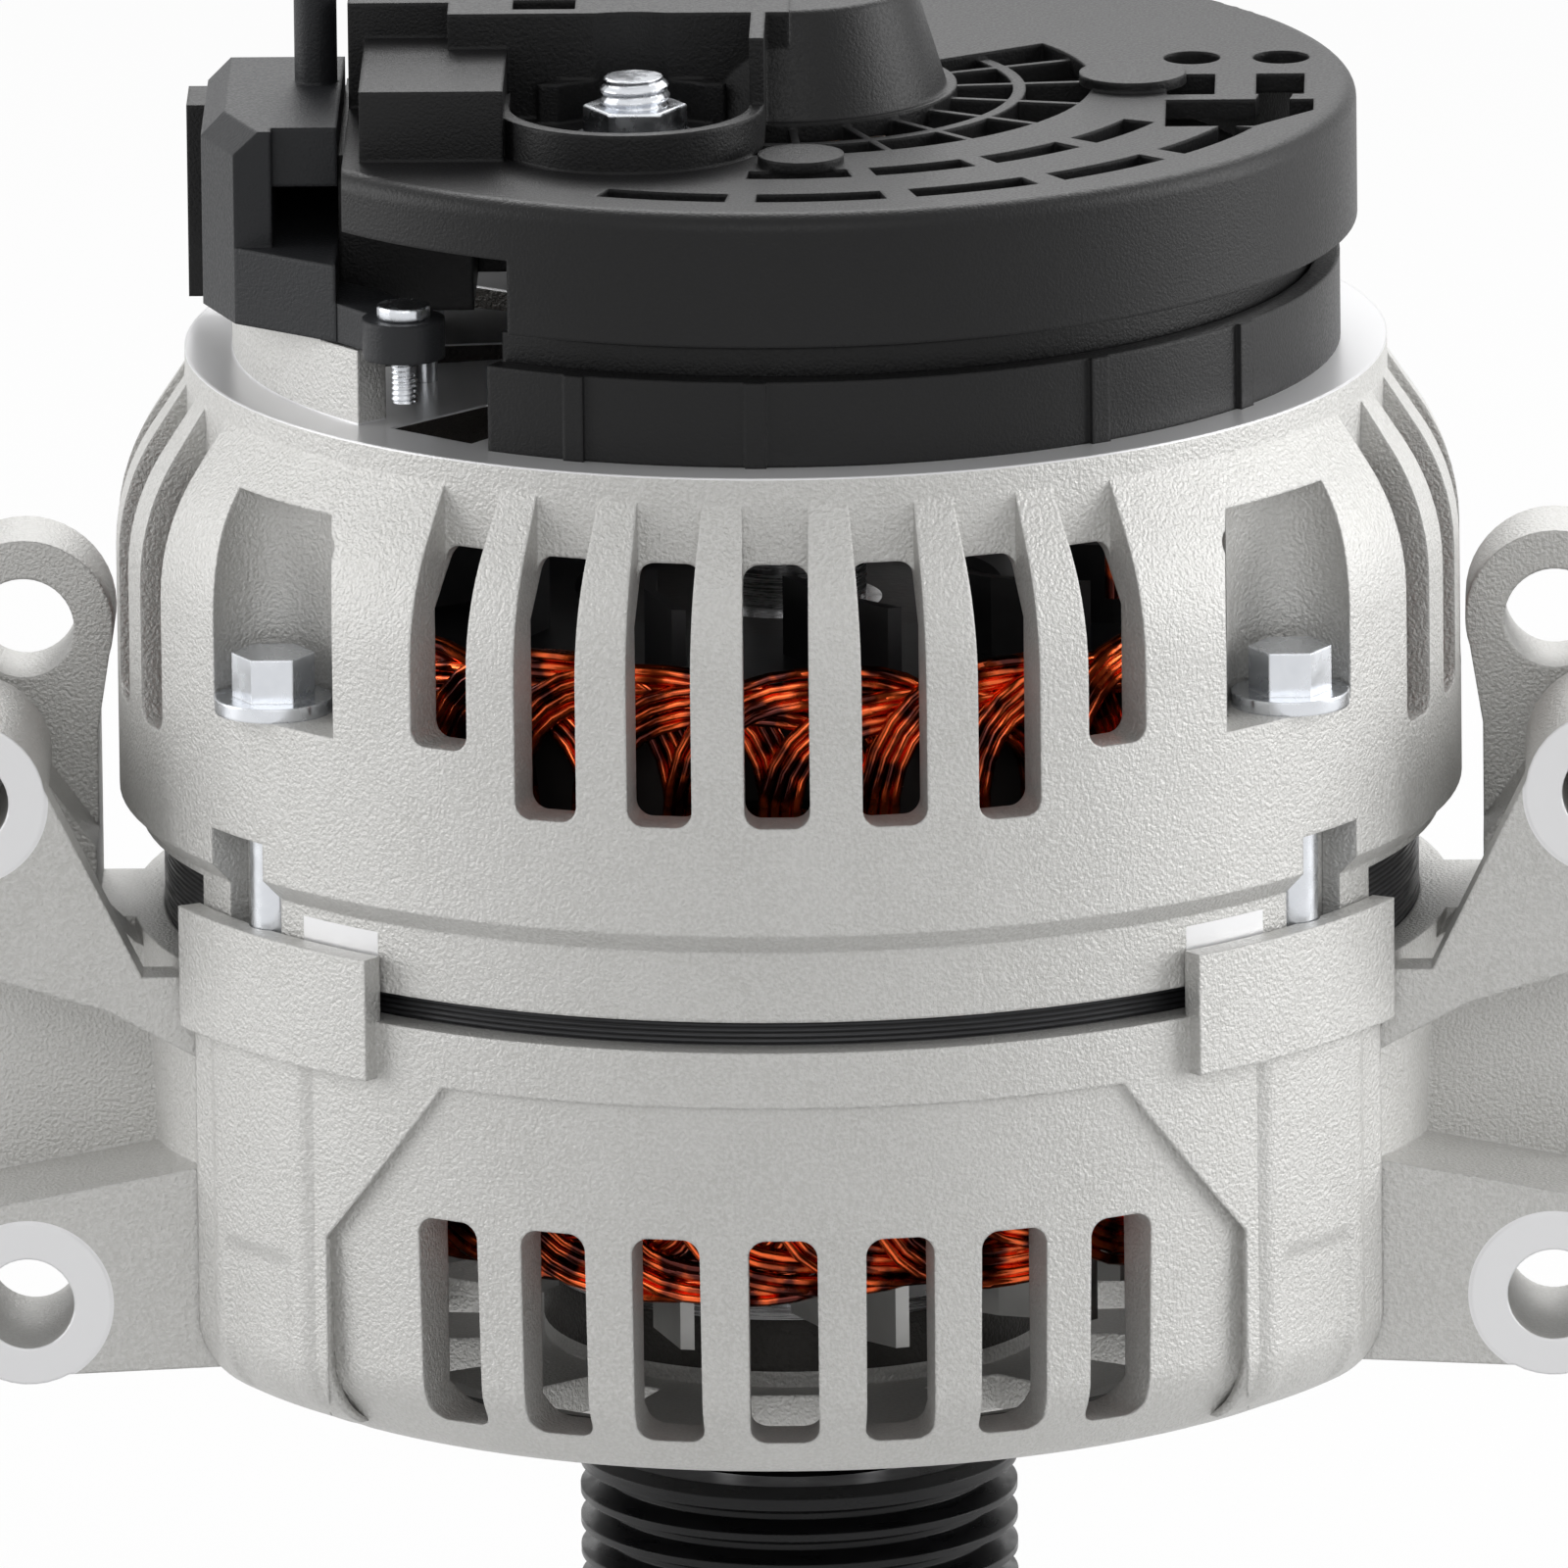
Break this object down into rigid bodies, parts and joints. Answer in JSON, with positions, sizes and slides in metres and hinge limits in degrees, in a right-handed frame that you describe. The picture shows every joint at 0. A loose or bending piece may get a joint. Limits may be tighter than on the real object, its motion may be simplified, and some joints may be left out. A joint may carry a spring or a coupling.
{
  "type": "belt driven alternator",
  "caption": "Belt driven alternator with ribbed cast housings, side mounting ears, grooved pulley, copper windings and black vented rear cover.",
  "frame": {"origin": "on the shaft axis in the middle plane of the belt", "axes": "+Z along the shaft from the pulley to the rear cover, -Y to the side that the ears' faces look to, +X to the right seen from there"},
  "size_m": [0.2024, 0.1508, 0.2083],
  "materials": {
    "cast_aluminium": "die cast, shot blasted",
    "heat_sink_aluminium": "pressed plate",
    "laminated_iron": "varnished laminations",
    "enamelled_copper": "red enamelled wire",
    "tinned_copper": "tinned",
    "slip_ring_copper": "turned",
    "bearing_steel": "ground",
    "plain_steel": "plain",
    "zinc_steel": "blue zinc plated",
    "fan_steel": "pressed sheet",
    "pole_iron": "forged, varnished",
    "black_coated_steel": "black coated, half gloss",
    "black_plastic": "moulded, fine texture",
    "dark_grey_plastic": "moulded, fine texture",
    "brush_carbon": "copper graphite"
  },
  "bodies": {
    "stator_frame": {"drive_end_housing": "cast_aluminium", "rear_housing": "cast_aluminium", "stator_core": "laminated_iron", "slot_conductors": "enamelled_copper", "winding_front_head": "enamelled_copper", "winding_rear_head": "enamelled_copper", "phase_leads": "enamelled_copper", "front_bearing_outer": "bearing_steel", "rear_bearing_outer": "bearing_steel", "rear_bearing_sleeve": "dark_grey_plastic", "bearing_retainer": "plain_steel", "retainer_screws": "zinc_steel", "through_bolts": "zinc_steel", "negative_heat_sink": "heat_sink_aluminium", "positive_heat_sink": "heat_sink_aluminium", "diodes_negative": "tinned_copper", "diodes_positive": "tinned_copper", "sink_spacers": "black_plastic", "terminal_carrier": "black_plastic", "rear_cover": "black_plastic", "battery_stud": "zinc_steel", "battery_stud_nut": "zinc_steel", "brush_holder": "black_plastic", "brush_spring_inner": "zinc_steel", "brush_spring_outer": "zinc_steel", "regulator": "black_plastic", "regulator_screws": "zinc_steel", "connector_body": "dark_grey_plastic", "connector_screw": "zinc_steel", "plug_socket": "black_plastic", "plug_pins": "tinned_copper"},
    "rotor": {"rotor_shaft": "bearing_steel", "claw_pole_front": "pole_iron", "claw_pole_rear": "pole_iron", "coil_bobbin": "black_plastic", "field_coil": "enamelled_copper", "front_fan": "fan_steel", "rear_fan": "fan_steel", "slip_ring_sleeve": "black_plastic", "slip_ring_inner": "slip_ring_copper", "slip_ring_outer": "slip_ring_copper", "front_bearing_inner": "bearing_steel", "rear_bearing_inner": "bearing_steel", "bearing_spacer": "plain_steel", "pulley": "black_coated_steel", "pulley_nut": "zinc_steel"},
    "front_ball_set": {"front_bearing_balls": "bearing_steel", "front_bearing_cage": "plain_steel"},
    "rear_ball_set": {"rear_bearing_balls": "bearing_steel", "rear_bearing_cage": "plain_steel"},
    "brush_inner_slider": {"brush_inner": "brush_carbon"},
    "brush_outer_slider": {"brush_outer": "brush_carbon"}
  },
  "joints": [
    {"name": "rotor_spin", "type": "hinge", "parent": "stator_frame", "child": "rotor", "pos_m": [0, 0, 0.078], "axis": [0, 0, 1], "continuous": true},
    {"name": "front_balls_roll", "type": "hinge", "parent": "stator_frame", "child": "front_ball_set", "pos_m": [0, 0, 0.0265], "axis": [0, 0, 1], "continuous": true},
    {"name": "rear_balls_roll", "type": "hinge", "parent": "stator_frame", "child": "rear_ball_set", "pos_m": [0, 0, 0.1315], "axis": [0, 0, 1], "continuous": true},
    {"name": "brush_inner_slide", "type": "slide", "parent": "stator_frame", "child": "brush_inner_slider", "axis": [-1, 0, 0], "range_m": [0, 0.004], "stiffness_N_per_m": 150, "springref_m": -0.015, "deforming": ["brush_spring_inner"]},
    {"name": "brush_outer_slide", "type": "slide", "parent": "stator_frame", "child": "brush_outer_slider", "axis": [-1, 0, 0], "range_m": [0, 0.004], "stiffness_N_per_m": 150, "springref_m": -0.015, "deforming": ["brush_spring_outer"]}
  ],
  "couplings": [
    {"joint": "front_balls_roll", "follows": "rotor_spin", "ratio": 0.3656},
    {"joint": "rear_balls_roll", "follows": "rotor_spin", "ratio": 0.3766}
  ]
}
